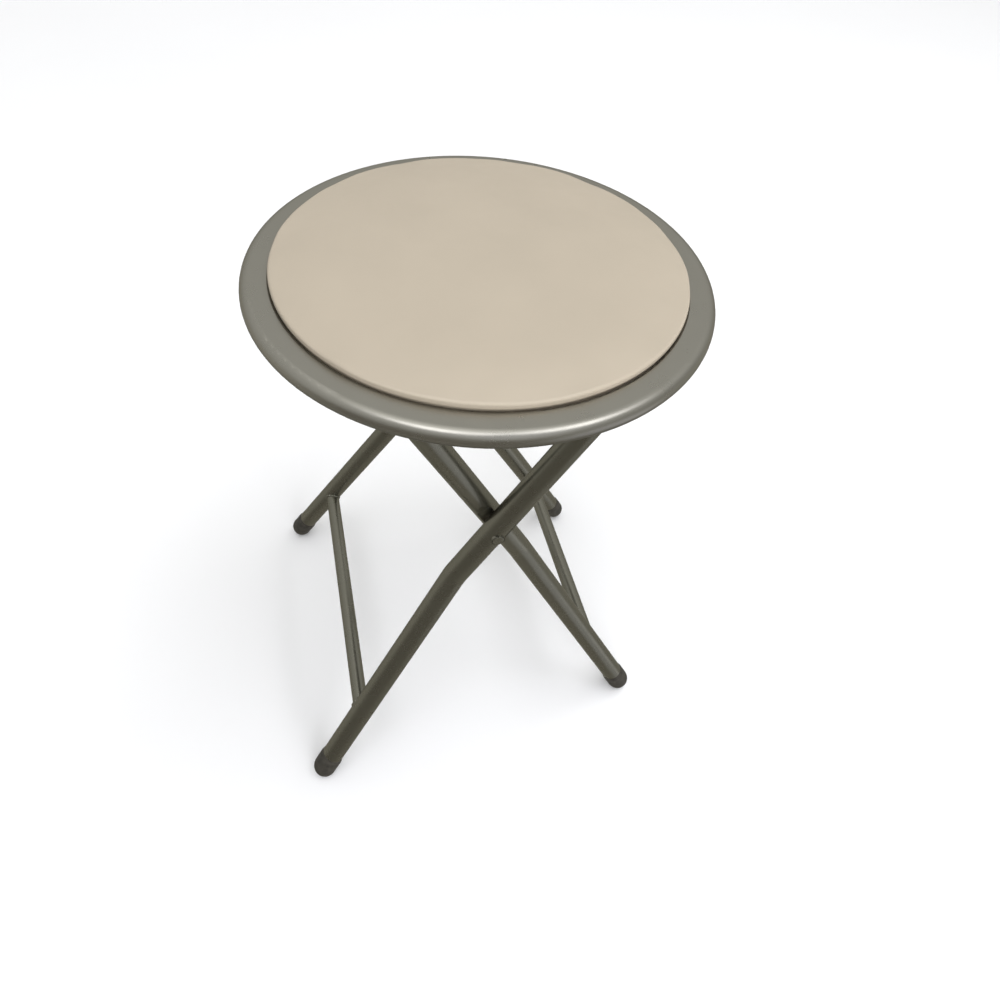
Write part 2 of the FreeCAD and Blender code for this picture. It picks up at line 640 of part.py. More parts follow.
def bracket(label, corners, length, bar_sign, side_sign):
    """A piece of one cross-section along the top bar, drilled for two screws."""
    body = new_body(label)
    sketch = new_sketch(body, "XZ_Plane", f"{label}_section")
    outline(sketch, corners)
    doc.recompute()
    pad_both_ways(body, sketch, length, f"{label}_length")
    doc.recompute()
    screw_eyes(body)
    x = f"{bar_sign} * Derived.bar_spread"
    y = f"{side_sign} * Sizes.saddle_offset"
    place(body, x, y, "Derived.bar_height")
    return body


def hinge_saddle(side, sign):
    """A moulded saddle between the pan and the outer frame's top bar."""
    half = "Sizes.saddle_width / 2"
    room = "Derived.bar_room"
    skirt = "Sizes.saddle_skirt"
    mouth = f"sqrt({room}^2 - {skirt}^2)"
    corners = [
        (half, skirt),
        (half, "Derived.saddle_top"),
        (f"-{half}", "Derived.saddle_top"),
        (f"-{half}", skirt),
        (f"-{mouth}", skirt, "cw", room),
        ("0", room, "cw", room),
        (mouth, skirt),
    ]
    return bracket(f"hinge_saddle_{side}", corners, "Sizes.saddle_length", 1, sign)


def hinge_strap(side, sign):
    """A bent strap that holds the top bar up in its saddle and lets it turn."""
    half = "Sizes.saddle_width / 2"
    room = "Derived.bar_room"
    outer = f"({room} + Sizes.strap_wall)"
    skirt = "Sizes.saddle_skirt"
    ear = "Derived.hinge_screw_seat"
    mouth = f"sqrt({room}^2 - {skirt}^2)"
    corners = [
        (f"-{half}", skirt),
        (f"-{half}", ear),
        (f"-sqrt({outer}^2 - {ear}^2)", ear, "ccw", outer),
        ("0", f"-{outer}", "ccw", outer),
        (f"sqrt({outer}^2 - {ear}^2)", ear),
        (half, ear),
        (half, skirt),
        (mouth, skirt, "cw", room),
        ("0", f"-{room}", "cw", room),
        (f"-{mouth}", skirt),
    ]
    return bracket(f"hinge_strap_{side}", corners, "Sizes.strap_length", 1, sign)


def catch_hook(side, sign):
    """A moulded hook that the inner frame's top bar slips into from inside and below."""
    half = "Sizes.saddle_width / 2"
    room = "Derived.bar_room"
    outer = f"({room} + Sizes.hook_wall)"
    skirt = "Derived.hook_skirt"
    mouth = f"{room} * cos(Sizes.hook_mouth * 1 deg)"
    wrap = "Sizes.hook_wrap * 1 deg"
    corners = [
        (half, skirt),
        (half, "Derived.saddle_top"),
        (f"-{half}", "Derived.saddle_top"),
        (f"-{half}", skirt),
        (f"-sqrt({outer}^2 - {skirt}^2)", skirt, "ccw", outer),
        (f"-{outer} * cos({wrap})", f"-{outer} * sin({wrap})"),
        (f"-{room} * cos({wrap})", f"-{room} * sin({wrap})", "cw", room),
        ("0", room, "cw", room),
        (mouth, skirt),
    ]
    return bracket(f"catch_hook_{side}", corners, "Sizes.saddle_length", -1, sign)


def screw(name, length, x, y, z):
    """A round-headed screw that points up into the seat board."""
    body = new_body(name)
    sketch = new_sketch(body, "XZ_Plane", f"{name}_profile")
    head = "Sizes.screw_head_diameter / 2"
    dome = "(Sizes.screw_head_height - Sizes.screw_head_edge)"
    dome_radius = f"(({head})^2 + {dome}^2) / (2 * {dome})"
    outline(sketch, [
        ("0", "-Sizes.screw_head_height", "ccw", dome_radius),
        (head, "-Sizes.screw_head_edge"),
        (head, "0"),
        ("Derived.screw_radius", "0"),
        ("Derived.screw_radius", f"{length} - Sizes.screw_point"),
        ("Sizes.screw_point_diameter / 2", length),
        ("0", length),
    ])
    doc.recompute()
    revolve(body, sketch, f"{name}_turned")
    place(body, x, y, z)
    return body


def screw_group(label, bar_sign, seat, length):
    """The four screws of one top bar, as one group of solids."""
    screws = []
    for side, side_sign in SIDES:
        for end, screw_sign in (("left", -1), ("right", 1)):
            x = f"{bar_sign} * Derived.bar_spread + {screw_sign} * Sizes.screw_offset"
            y = f"{side_sign} * Sizes.saddle_offset"
            name = f"{label}_{side}_{end}"
            screws.append(screw(name, length, x, y, f"Derived.bar_height + {seat}"))
    group = doc.addObject("Part::Compound", label)
    group.Label = label
    group.Links = screws
    return group


def floor_block():
    """The ground under the stool, which trims the feet."""
    block = doc.addObject("Part::Box", "floor_block")
    block.setExpression("Length", "2 * Sizes.seat_diameter")
    block.setExpression("Width", "2 * Sizes.seat_diameter")
    block.setExpression("Height", "Sizes.foot_radius")
    place(block, "-Sizes.seat_diameter", "-Sizes.seat_diameter", "-Sizes.foot_radius")
    return block


def build():
    """Makes every piece and returns them in the order of assembly."""
    pieces = []
    floor = floor_block()
    for frame, hole_gap in (("outer", "Sizes.rivet_fit"), ("inner", "Sizes.pivot_clearance")):
        tube, rod = leg_frame(frame, hole_gap)
        pieces += [tube, stretcher(frame, rod)]
        pieces += [foot(frame, side, sign, floor) for side, sign in SIDES]
    pieces += [rivet(side, sign) for side, sign in SIDES]
    pieces += [washer(side, sign) for side, sign in SIDES]
    pieces += [seat_pan(), seat_board(), seat_foam(), seat_cover()]
    for make in (hinge_saddle, hinge_strap, catch_hook):
        pieces += [make(side, sign) for side, sign in SIDES]
    pieces.append(screw_group("hinge_screws", 1, "Derived.hinge_screw_seat", "Derived.hinge_screw_length"))
    pieces.append(screw_group("catch_screws", -1, "Derived.hook_skirt", "Derived.catch_screw_length"))
    return pieces


def export(pieces):
    """Stops on any failed object, then writes one file per piece."""
    doc.recompute()
    for item in doc.Objects:
        if "Invalid" in item.State or "Error" in item.State:
            raise RuntimeError(f"{item.Name} failed: {item.State}")
    for piece in pieces:
        if piece.Shape.isNull() or not piece.Shape.isValid() or not piece.Shape.Solids:
            raise RuntimeError(f"{piece.Label} has no valid solid")
    os.makedirs("parts", exist_ok=True)
    for piece in pieces:
        piece.Shape.exportStep(f"parts/{piece.Label}.step")
        print(f"{piece.Label}: {len(piece.Shape.Solids)} solid, {piece.Shape.Volume:.1f} mm3")


export(build())
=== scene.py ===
"""Folding stool: cushion, weld beads, rivets, screws, finishes and the stage it stands on."""

import json
import math

import bpy
from bpy.props import FloatProperty, FloatVectorProperty, IntProperty, PointerProperty
from mathutils import Matrix, Vector


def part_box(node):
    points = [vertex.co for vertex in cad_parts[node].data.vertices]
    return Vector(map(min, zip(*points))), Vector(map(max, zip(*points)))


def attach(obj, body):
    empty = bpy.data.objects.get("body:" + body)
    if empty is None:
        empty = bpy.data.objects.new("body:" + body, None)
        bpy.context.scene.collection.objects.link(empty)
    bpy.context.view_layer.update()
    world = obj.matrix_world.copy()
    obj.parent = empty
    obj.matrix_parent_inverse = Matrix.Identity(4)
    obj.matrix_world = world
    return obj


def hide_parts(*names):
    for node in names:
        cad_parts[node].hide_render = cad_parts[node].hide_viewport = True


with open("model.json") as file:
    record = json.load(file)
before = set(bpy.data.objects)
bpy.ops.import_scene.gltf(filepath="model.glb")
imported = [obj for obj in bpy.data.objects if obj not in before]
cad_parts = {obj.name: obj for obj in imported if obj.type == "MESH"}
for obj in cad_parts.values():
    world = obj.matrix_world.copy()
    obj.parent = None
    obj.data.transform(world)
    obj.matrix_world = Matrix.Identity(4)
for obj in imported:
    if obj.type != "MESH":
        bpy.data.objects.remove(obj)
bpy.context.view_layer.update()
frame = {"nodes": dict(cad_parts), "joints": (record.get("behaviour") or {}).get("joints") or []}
NODES = frame["nodes"]
COVER_LOW, COVER_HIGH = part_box("seat_cover")
BOARD_LOW, BOARD_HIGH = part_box("seat_board")
PAN_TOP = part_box("seat_pan")[1].z

# The stool's two sides along Y, and the sign of Y there.
SIDES = (("front", -1.0), ("rear", 1.0))

# Rings of the slack cushion: shares of the foot's radius, of the side's height and of the upright
# edge, shares of the overhang with heights over the neck, and the angles of rings in the rounds.
FOOT_SHARES = (0.45, 0.8, 0.92, 0.98, 0.998)
SIDE_SHARES = (0.03, 0.25, 0.5, 0.75, 0.93)
UPRIGHT_SHARES = (0.7, 0.4)
NECK_CORNER = ((0.1, -0.0001), (0.45, 0.0))
LOWER_ANGLES = (180, 150, 120, 90)
UPPER_ANGLES = range(90, 0, -12)

# Faint gathers of the cover along its edge: waves around it, their start and their strength.
GATHERS = ((11, 0.6, 1.0), (17, 2.1, 0.7), (29, 0.0, 0.5))

# Edges that turn by more than this stay sharp, on the cushion and on rivets and screws.
CUSHION_CREASE = math.radians(40)
FIXING_CREASE = math.radians(35)

# A rivet's clinched end: shares of the shank's radius, and heights.
RIVET_CLINCH = ((1.2, 0.0), (1.45, 0.0002), (1.5, 0.0006))

# A rivet's head: shares of its radius, at its foot and then with heights over the tube.
RIVET_FOOT = 0.96
RIVET_RING = ((1.0, 0.0004), (0.985, 0.0006), (0.955, 0.0006), (0.94, 0.0004))
RIVET_GROOVE = ((0.94, -0.0006), (0.87, -0.0006))
RIVET_DISC = ((0.87, 0.0006), (0.85, 0.0008), (0.80, 0.00088), (0.5, 0.00094), (0.12, 0.00096))

# A screw's head, from its top: shares of its radius and of its height.
SCREW_HEAD = (
    (0.3, 0.0), (0.62, 0.1), (0.85, 0.3), (0.98, 0.6), (1.0, 0.72), (1.0, 0.95), (0.97, 1.0),
)

# A screw's shank: shares of its radius under the head, between two ridges, where its cone starts
# and at its tip, and the way from a ridge back to the groove before it, as a share of the pitch.
SCREW_NECK, SCREW_GROOVE, SCREW_CONE, SCREW_TIP = 1.02, 0.84, 0.7, 0.25
GROOVE_BACK = 0.3

# The cutter of a screw's slot: its middle and its height, as shares of the head's height.
CUTTER_MIDDLE, CUTTER_HEIGHT = 0.1, 1.1

# Where the surround's colours blend, by how far a direction points up, right or to the rear.
NEAR_BAND = (-0.9, -0.5)
SIDE_BAND = (0.1, 0.7)
REAR_BAND = (-0.40, 0.35)
BEHIND_BAND = (-0.2, 0.25)
LEVEL_BAND = (-0.08, 0.20)
SKY_BAND = (0.05, 0.70)
ZENITH_BAND = (0.80, 0.99)

# Pools of light in the surround: the setting for brightness, heading and height in degrees, and
# the angles from the middle where the pool is full and where it ends.
POOLS = (
    ("front_pool", -85, 54, 12, 42),
    ("left_pool", -128, 70, 5, 19),
    ("right_pool", -28, 61, 5, 20),
    ("low_pool", -43, -27, 8, 30),
    ("glint_pool", -24, -32, 2, 11),
)
POOL_TINT = Vector((1.0, 1.0, 1.03))

# Soft boxes: name, place, width and height, and the setting for power. All look at the seat.
SOFT_BOXES = (
    ("wash_light", (0.0, 0.0, 3.5), (3.0, 3.0), "wash_power"),
    ("key_light", (1.3, 0.5, 2.4), (1.2, 1.2), "key_power"),
    ("front_light", (0.3, -2.6, 0.85), (1.6, 1.2), "front_power"),
)
SEAT_MIDDLE = Vector((0.0, 0.0, 0.44))

bl_info = {
    "name": "Folding stool looks",
    "version": (1, 0, 0),
    "blender": (4, 5, 0),
    "location": "View3D > Sidebar > Stool",
    "description": "Dresses a folding stool's frame with its cushion, welds, fixings and finishes",
    "category": "Object",
}


def colour(name, description, default):
    """A colour that a user may change."""
    return FloatVectorProperty(
        name=name, description=description, subtype="COLOR", size=3, min=0.0, soft_max=1.0,
        default=default,
    )


def length(name, description, default):
    """A length in metres that a user may change."""
    return FloatProperty(
        name=name, description=description, default=default, min=0.0, unit="LENGTH"
    )


def portion(name, description, default):
    """A share between nought and one that a user may change."""
    return FloatProperty(
        name=name, description=description, default=default, min=0.0, max=1.0, subtype="FACTOR"
    )


def count(name, description, default, least):
    """A whole number that a user may change."""
    return IntProperty(name=name, description=description, default=default, min=least)


def lean(name, description, degrees):
    """An angle that a user may change."""
    return FloatProperty(
        name=name, description=description, subtype="ANGLE", default=math.radians(degrees)
    )


def brightness(name, description, default):
    """The brightness of a pool of light that a user may change."""
    return FloatProperty(name=name, description=description, default=default, min=0.0)


def power(name, description, default):
    """The power of a light that a user may change."""
    return FloatProperty(
        name=name, description=description, default=default, min=0.0, unit="POWER"
    )


class StoolCushionSettings(bpy.types.PropertyGroup):
    """Form and cover of the seat cushion."""

    drawn_in: length(
        "Drawn in", "How far the side in the well stands in from the cover's widest line", 0.00045
    )
    overhang: length(
        "Overhang", "How far the round edge stands out over the side in the well", 0.0020
    )
    neck_height: length("Neck", "Height of the side below the edge that stands out", 0.0106)
    lower_radius: length("Lower radius", "Round under the edge", 0.0006)
    upright: length("Upright", "Straight height of the edge between its two rounds", 0.0020)
    edge_radius: length("Edge radius", "Round over the edge", 0.0019)
    slack: length("Slack", "How much lower than full the pad starts", 0.0012)
    swell: length("Swell", "The most that a point moves as the pad fills", 0.0015)
    unevenness: portion("Unevenness", "Share of the swell's unevenness that stays", 0.12)
    segments: count("Segments", "Points around the cushion", 120, 24)
    crown_rings: count("Crown rings", "Rings from the round edge to the middle", 20, 4)
    pressure: FloatProperty(name="Pressure", description="Filling pressure", default=4.0, min=0.0)
    fill_frames: count("Frames", "Frames that the pad fills over", 20, 2)
    level_reach: length("Level reach", "Radius of the crown's middle that is levelled", 0.035)
    level_dip: length("Level dip", "How far that middle may fall to its edge", 0.0002)
    skin: length("Skin", "Clearance between the pad and the board in it", 0.0002)
    room_segments: count("Room segments", "Points around the board's room", 128, 24)
    hem: length("Hem", "Width of the cover's hem under the board", 0.016)
    sliver: length("Sliver", "Width below which a face of the cut is taken away", 0.00002)
    pucker: length("Pucker", "Depth of the faint gathers along the edge", 0.00008)
    pucker_reach: length("Pucker reach", "How far the gathers reach from the edge", 0.006)
    vinyl: colour("Vinyl", "Colour of the seat cover", (0.455, 0.398, 0.318))


class StoolFinishSettings(bpy.types.PropertyGroup):
    """Colours of the metal, rubber and plastic pieces."""

    pan: colour("Pan enamel", "Silver enamel of the seat pan", (0.395, 0.385, 0.346))
    # Painted shade under the pan's rolled rim: its enamel colour darkens between these two depths
    # under its top.
    painted_shade_start: length(
        "Shade start", "Depth under the pan's top where its enamel starts to thin", 0.0045
    )
    painted_shade_end: length(
        "Shade end", "Depth under the pan's top where its enamel is darkest", 0.0095
    )
    painted_shade_share: portion("Shade share", "Strength of the enamel where it is darkest", 0.42)
    legs: colour("Leg enamel", "Grey enamel of the two leg frames", (0.25, 0.245, 0.207))
    steel: colour("Plated steel", "Washers, straps and screws", (0.42, 0.40, 0.36))
    rubber: colour("Foot rubber", "Rubber of the four foot plugs", (0.034, 0.031, 0.025))
    plastic: colour("Bracket plastic", "Moulded saddles and hooks", (0.020, 0.020, 0.021))
    board: colour("Board", "Pressed board in the cushion", (0.36, 0.25, 0.15))


class StoolFixingSettings(bpy.types.PropertyGroup):
    """Sizes of the weld beads, rivets and screws."""

    leg_radius: length("Leg radius", "Radius of the leg tubes", 0.0093)
    bead_radius: length("Bead radius", "Thickness of a weld bead", 0.0013)
    bead_segments: count("Bead segments", "Points along a weld bead", 132, 24)
    bead_sides: count("Bead sides", "Points around a weld bead's section", 12, 6)
    ripples: count("Ripples", "Ripples around a weld bead", 22, 0)
    ripple: portion("Ripple", "Depth of a ripple, as a share of the bead", 0.16)
    waves: count("Waves", "Longer waves around a weld bead", 7, 0)
    wave: portion("Wave", "Depth of a longer wave, as a share of a ripple", 0.4)
    outer_splay: lean("Outer splay", "Sideways lean of the outer legs", 9.18)
    inner_splay: lean("Inner splay", "Sideways lean of the inner legs", 6.73)
    rivet_segments: count("Rivet segments", "Points around a rivet", 64, 12)
    shank_radius: length("Rivet shank", "Radius of a rivet's shank", 0.003)
    clinch: length("Rivet clinch", "Thickness of a rivet's clinched end", 0.0015)
    skirt: length("Rivet skirt", "How far a rivet's head is set into the leg tube", 0.0020)
    head_height: length("Rivet head", "Height of the frame's rivet heads over the tube", 0.0015)
    edge_break: length("Edge break", "Small rounding of a rivet's inner edges", 0.0002)
    screw_segments: count("Screw segments", "Points around a screw", 40, 12)
    screw_head_radius: length("Screw head", "Radius of a screw's head", 0.00375)
    screw_head_height: length("Screw head height", "Height of a screw's head", 0.0024)
    screw_radius: length("Screw shank", "Radius of a screw's shank", 0.002)
    screw_pitch: length("Screw pitch", "Twice the way from one ridge to the next", 0.0014)
    screw_point: length("Screw point", "Length of a screw's smooth end", 0.0025)
    screw_tip: length("Screw tip", "Length of the cone at its end", 0.0018)
    slot_width: length("Slot width", "Width of the cross slot in a screw's head", 0.0009)
    slot_reach: length("Slot reach", "Reach of the cross slot from the screw's middle", 0.0021)
    first_turn: FloatProperty(
        name="First turn", description="Turn of the first screw", unit="ROTATION", default=0.4
    )
    next_turn: FloatProperty(
        name="Next turn", description="Turn from screw to screw", unit="ROTATION", default=0.9
    )


class StoolStageSettings(bpy.types.PropertyGroup):
    """Camera, lights and floor."""

    eye: FloatVectorProperty(
        name="Eye", description="Where the camera stands", size=3, subtype="TRANSLATION",
        unit="LENGTH", default=(-0.11973, -0.41511, 0.73158),
    )
    turn: FloatVectorProperty(
        name="Turn", description="Camera's heading, dip and roll in degrees", size=3,
        default=(16.346, 45.505, -4.871),
    )
    lens: FloatProperty(name="Lens", description="Focal length in millimetres", default=28.046)
    sensor: FloatProperty(name="Sensor", description="Sensor's width in millimetres", default=36.0)
    shift: FloatVectorProperty(
        name="Shift", description="Sideways and upward shift of the picture", size=2,
        default=(0.03, -0.08),
    )
    floor_radius: length("Floor radius", "Radius of the floor", 6.0)
    floor_segments: count("Floor segments", "Points around the floor", 64, 12)
    floor: colour("Floor", "Pale floor", (0.905, 0.912, 0.93))
    backdrop: colour("Backdrop", "What the camera sees past the floor", (0.96, 0.96, 0.955))
    zenith: colour("Zenith", "Soft light from straight above", (1.20, 1.19, 1.15))
    sky: colour("Sky", "Soft light from high up all round", (0.57, 0.565, 0.535))
    horizon: colour(
        "Horizon", "Soft light from the seat's level in front", (0.30, 0.295, 0.275)
    )
    lit_horizon: colour(
        "Lit horizon", "Soft light from the seat's level behind", (0.50, 0.495, 0.465)
    )
    near_floor: colour(
        "Near floor", "Floor straight below, as polished pieces mirror it", (0.32, 0.30, 0.255)
    )
    dull_floor: colour(
        "Dull floor", "Floor in front, as polished pieces mirror it", (0.18, 0.165, 0.135)
    )
    lit_floor: colour(
        "Lit floor", "Floor behind, as polished pieces mirror it", (0.45, 0.435, 0.385)
    )
    side_floor: colour(
        "Side floor", "Floor at the right, as polished pieces mirror it", (0.35, 0.34, 0.30)
    )
    behind: FloatProperty(
        name="Behind", description="Heading of the lit horizon's middle in degrees", default=105.0
    )
    left_pool: brightness("Left pool", "Soft pool at the front left", 3.6)
    right_pool: brightness("Right pool", "Soft pool at the front right", 3.5)
    front_pool: brightness("Front pool", "Wide pool in front", 0.65)
    low_pool: brightness("Low pool", "Low pool at the front right", 0.55)
    glint_pool: brightness("Glint pool", "Small low pool at the right", 0.9)
    wash_power: power("Wash power", "Wide soft light overhead", 12.0)
    key_power: power("Key power", "Soft box at the right", 12.0)
    front_power: power("Front power", "Soft box behind the camera", 40.0)


def clear_selection():
    """Leaves nothing selected, so that an operator acts on the new piece alone."""
    bpy.ops.object.select_all(action="DESELECT")


def select_only(piece):
    """Selects one piece and makes it the active one."""
    clear_selection()
    piece.select_set(True)
    bpy.context.view_layer.objects.active = piece


def fix_place():
    """Puts the selected pieces' places, turns and scales into their meshes."""
    bpy.ops.object.transform_apply(location=True, rotation=True, scale=True)


def face_outwards():
    """Turns all faces of the active piece outwards, and leaves edit mode."""
    bpy.ops.mesh.select_all(action="SELECT")
    bpy.ops.mesh.normals_make_consistent(inside=False)
    bpy.ops.object.mode_set(mode="OBJECT")


def apply_modifiers(piece):
    """Applies a piece's modifiers in order."""
    bpy.context.view_layer.objects.active = piece
    for modifier in list(piece.modifiers):
        bpy.ops.object.modifier_apply(modifier=modifier.name)


def cut_out(piece, cutter):
    """Cuts a shape out of a piece, and removes the shape."""
    cut = piece.modifiers.new("Cut", "BOOLEAN")
    cut.operation = "DIFFERENCE"
    cut.solver = "EXACT"
    cut.object = cutter
    apply_modifiers(piece)
    bpy.data.objects.remove(cutter)


def dress(piece, material):
    """Makes a material the only one on a piece."""
    piece.data.materials.clear()
    piece.data.materials.append(material)


def settle(piece, body):
    """Gives a finished piece its body."""
    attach(piece, body)


class Finish:
    """A node material under construction, on the piece's own coordinates."""

    def __init__(self, name, base, roughness, metallic=0.0):
        self.material = bpy.data.materials.new(name)
        self.material.use_nodes = True
        self.tree = self.material.node_tree
        self.shader = self.tree.nodes["Principled BSDF"]
        self.shader.inputs["Base Color"].default_value = (*base, 1.0)
        self.shader.inputs["Roughness"].default_value = roughness
        self.shader.inputs["Metallic"].default_value = metallic
        self.base = base
        self.roughness = roughness
        self.place = self.tree.nodes.new("ShaderNodeTexCoord").outputs["Object"]

    def add(self, kind, **settings):
        """A node with the named properties set."""
        made = self.tree.nodes.new(kind)
        for name, value in settings.items():
            setattr(made, name, value)
        return made

    def join(self, source, target):
        """Links an output to an input."""
        self.tree.links.new(source, target)

    def noise(self, scale, detail=2.0):
        """Soft random values at so many features a metre."""
        made = self.add("ShaderNodeTexNoise")
        made.inputs["Scale"].default_value = scale
        made.inputs["Detail"].default_value = detail
        self.join(self.place, made.inputs["Vector"])
        return made.outputs["Fac"]

    def cells(self, scale):
        """Distances in a field of random cells at so many a metre."""
        made = self.add("ShaderNodeTexVoronoi", feature="F1")
        made.inputs["Scale"].default_value = scale
        self.join(self.place, made.inputs["Vector"])
        return made.outputs["Distance"]

    def spread(self, values, low, high, start=0.3, end=0.7):
        """Values between a start and an end brought to a range."""
        made = self.add("ShaderNodeMapRange")
        made.inputs["From Min"].default_value = start
        made.inputs["From Max"].default_value = end
        made.inputs["To Min"].default_value = low
        made.inputs["To Max"].default_value = high
        self.join(values, made.inputs["Value"])
        return made.outputs["Result"]

    def tint(self, values, darker, lighter):
        """Base colour that wanders between two shades of itself."""
        made = self.add("ShaderNodeMix", data_type="RGBA")
        colours = {socket.identifier: socket for socket in made.inputs}
        colours["A_Color"].default_value = (*[c * darker for c in self.base], 1.0)
        colours["B_Color"].default_value = (*[c * lighter for c in self.base], 1.0)
        self.join(self.spread(values, 0.0, 1.0), colours["Factor_Float"])
        self.join(made.outputs[2], self.shader.inputs["Base Color"])

    def painted_shade_below(self, low, high, left):
        """Painted shade: base colour that darkens from the higher height to the lower one, down to
        the share left there.
        """
        parts = self.add("ShaderNodeSeparateXYZ")
        self.join(self.place, parts.inputs["Vector"])
        weaker = self.add("ShaderNodeVectorMath", operation="SCALE")
        self.join(self.shader.inputs["Base Color"].links[0].from_socket, weaker.inputs[0])
        self.join(self.spread(parts.outputs["Z"], left, 1.0, low, high), weaker.inputs["Scale"])
        self.join(weaker.outputs["Vector"], self.shader.inputs["Base Color"])

    def gloss(self, values, change):
        """Roughness that wanders about its middle value."""
        rough = self.spread(values, self.roughness - change, self.roughness + change)
        self.join(rough, self.shader.inputs["Roughness"])

    def relief(self, heights, strength, distance):
        """A bump of so many metres, over whatever bump is there already."""
        made = self.add("ShaderNodeBump")
        made.inputs["Strength"].default_value = strength
        made.inputs["Distance"].default_value = distance
        self.join(heights, made.inputs["Height"])
        normal = self.shader.inputs["Normal"]
        if normal.is_linked:
            self.join(normal.links[0].from_socket, made.inputs["Normal"])
        self.join(made.outputs["Normal"], normal)


def enamel(name, base, roughness, flake, darken=None):
    """Metallic enamel on steel: fine flakes and a slight orange-peel skin, with painted shade below
    a height where asked.
    """
    finish = Finish(name, base, roughness, metallic=0.95)
    finish.shader.inputs["Specular Tint"].default_value = (0.62, 0.61, 0.58, 1.0)
    finish.tint(finish.noise(4200.0, detail=1.0), darker=1.0 - flake, lighter=1.0 + flake)
    # Painted shade: the base colour darkens below a height, standing in for a shaded underside.
    if darken:
        finish.painted_shade_below(*darken)
    finish.gloss(finish.noise(60.0, detail=4.0), change=0.04)
    finish.relief(finish.noise(420.0), strength=0.12, distance=0.00006)
    return finish.material


def vinyl_cover(name, base):
    """Soft vinyl with a fine pebble grain."""
    finish = Finish(name, base, roughness=0.46)
    finish.shader.inputs["Specular IOR Level"].default_value = 0.45
    finish.tint(finish.noise(14.0, detail=3.0), darker=0.97, lighter=1.03)
    finish.gloss(finish.noise(90.0, detail=3.0), change=0.05)
    finish.relief(finish.cells(1100.0), strength=0.18, distance=0.00012)
    finish.relief(finish.noise(45.0), strength=0.10, distance=0.0004)
    return finish.material


def rubber_plug(name, base):
    """Matt moulded rubber, a little dusty."""
    finish = Finish(name, base, roughness=0.62)
    finish.tint(finish.noise(220.0, detail=4.0), darker=0.75, lighter=1.5)
    finish.gloss(finish.noise(120.0, detail=3.0), change=0.08)
    finish.relief(finish.noise(1600.0), strength=0.2, distance=0.0001)
    return finish.material


def plated_steel(name, base):
    """Zinc-plated steel, with faint spangle and dull spots."""
    finish = Finish(name, base, roughness=0.34, metallic=1.0)
    finish.tint(finish.cells(700.0), darker=0.9, lighter=1.1)
    finish.gloss(finish.noise(500.0, detail=3.0), change=0.08)
    finish.relief(finish.noise(900.0, detail=3.0), strength=0.1, distance=0.00005)
    return finish.material


def moulded_plastic(name, base):
    """Black moulded plastic with a spark-eroded texture."""
    finish = Finish(name, base, roughness=0.5)
    finish.tint(finish.noise(160.0, detail=3.0), darker=0.85, lighter=1.2)
    finish.gloss(finish.noise(240.0, detail=3.0), change=0.07)
    finish.relief(finish.noise(2200.0), strength=0.25, distance=0.00008)
    return finish.material


def pressed_board(name, base):
    """Pressed wood board: flakes of several browns."""
    finish = Finish(name, base, roughness=0.75)
    finish.tint(finish.cells(420.0), darker=0.65, lighter=1.3)
    finish.gloss(finish.noise(200.0), change=0.06)
    finish.relief(finish.noise(700.0, detail=4.0), strength=0.3, distance=0.0002)
    return finish.material


class STOOL_OT_finishes(bpy.types.Operator):
    """Finish the pan, the leg frames, the washers, the feet and the brackets"""

    bl_idname = "stool.finishes"
    bl_label = "Finish metal, rubber and plastic"

    def execute(self, context):
        settings = context.scene.stool_finish
        # Painted shade: the pan's enamel colour darkens towards the underside of its rim.
        darken = (PAN_TOP - settings.painted_shade_end, PAN_TOP - settings.painted_shade_start, settings.painted_shade_share)
        pan = enamel("pan_enamel", settings.pan, roughness=0.30, flake=0.045, darken=darken)
        legs = enamel("leg_enamel", settings.legs, roughness=0.28, flake=0.05)
        steel = plated_steel("pivot_plating", settings.steel)
        rubber = rubber_plug("foot_rubber", settings.rubber)
        plastic = moulded_plastic("bracket_plastic", settings.plastic)
        board = pressed_board("pressed_board", settings.board)
        finishes = {"seat_pan": pan, "seat_board": board}
        for frame_name in ("outer", "inner"):
            finishes[f"{frame_name}_leg_frame"] = legs
            finishes[f"{frame_name}_stretcher"] = legs
            for side, _ in SIDES:
                finishes[f"{frame_name}_foot_{side}"] = rubber
        for side, _ in SIDES:
            finishes[f"pivot_washer_{side}"] = steel
            finishes[f"hinge_strap_{side}"] = steel
            finishes[f"hinge_saddle_{side}"] = plastic
            finishes[f"catch_hook_{side}"] = plastic
        for name, finish in finishes.items():
            dress(NODES[name], finish)
        return {"FINISHED"}


def round_body(name, rings, segments):
    """A closed round body, extruded ring by ring from its lowest disc."""
    clear_selection()
    radius, height = rings[0]
    bpy.ops.mesh.primitive_circle_add(
        vertices=segments, radius=radius, fill_type="NGON", location=(0, 0, height)
    )
    body = bpy.context.object
    body.name = name
    fix_place()
    bpy.ops.object.mode_set(mode="EDIT")
    bpy.ops.mesh.select_all(action="SELECT")
    for next_radius, next_height in rings[1:]:
        climb = (0, 0, next_height - height)
        bpy.ops.mesh.extrude_region_move(TRANSFORM_OT_translate={"value": climb})
        grown = next_radius / radius
        bpy.ops.transform.resize(value=(grown, grown, 1.0), center_override=(0, 0, next_height))
        radius, height = next_radius, next_height
    face_outwards()
    return body


def round_corner(widest, height, radius, angles):
    """Rings of a round, by their normals' angles from up. Its widest line has the given height."""
    turns = [math.radians(degrees) for degrees in angles]
    return [
        (widest - radius + radius * math.sin(turn), height + radius * math.cos(turn))
        for turn in turns
    ]


